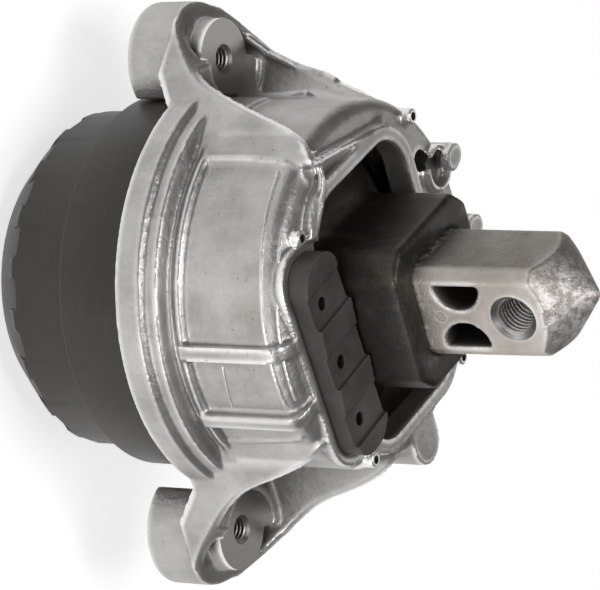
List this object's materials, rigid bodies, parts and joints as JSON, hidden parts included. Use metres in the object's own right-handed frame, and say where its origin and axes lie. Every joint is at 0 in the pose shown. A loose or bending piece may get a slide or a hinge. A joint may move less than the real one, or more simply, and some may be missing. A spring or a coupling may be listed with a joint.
{
  "type": "hydraulic engine mount",
  "caption": "Fluid-filled engine mount: a cast bell with two threaded feet, a rubber-held square core with a cross hole, and a black base cup.",
  "frame": {"origin": "middle of the flat underside of the base cup, on the axis of the mount", "axes": "+Z along the axis of the mount towards the pointed end of the core; X along the line of the two screw bosses, with the boss that stands further out at +X; -Y towards the side with the stop pad"},
  "size_m": [0.172, 0.1222, 0.1744],
  "materials": {
    "cast_aluminium": "as-cast, blasted, with machined boss faces",
    "core_aluminium": "as-cast, slightly darker and rougher",
    "spring_rubber": "moulded, dusty",
    "pad_rubber": "moulded, matt",
    "cup_plastic": "black, half matt",
    "ring_steel": "turned",
    "plate_aluminium": "die cast",
    "soft_rubber": "moulded",
    "ring_plastic": "moulded"
  },
  "bodies": {
    "root": {"housing": "cast_aluminium", "core": "core_aluminium", "main_spring": "spring_rubber", "stop_pad": "pad_rubber", "base_cup": "cup_plastic", "spring_ring": "ring_steel", "upper_plate": "plate_aluminium", "lower_plate": "plate_aluminium", "membrane": "soft_rubber", "diaphragm": "soft_rubber", "support_ring": "ring_plastic"}
  },
  "joints": []
}
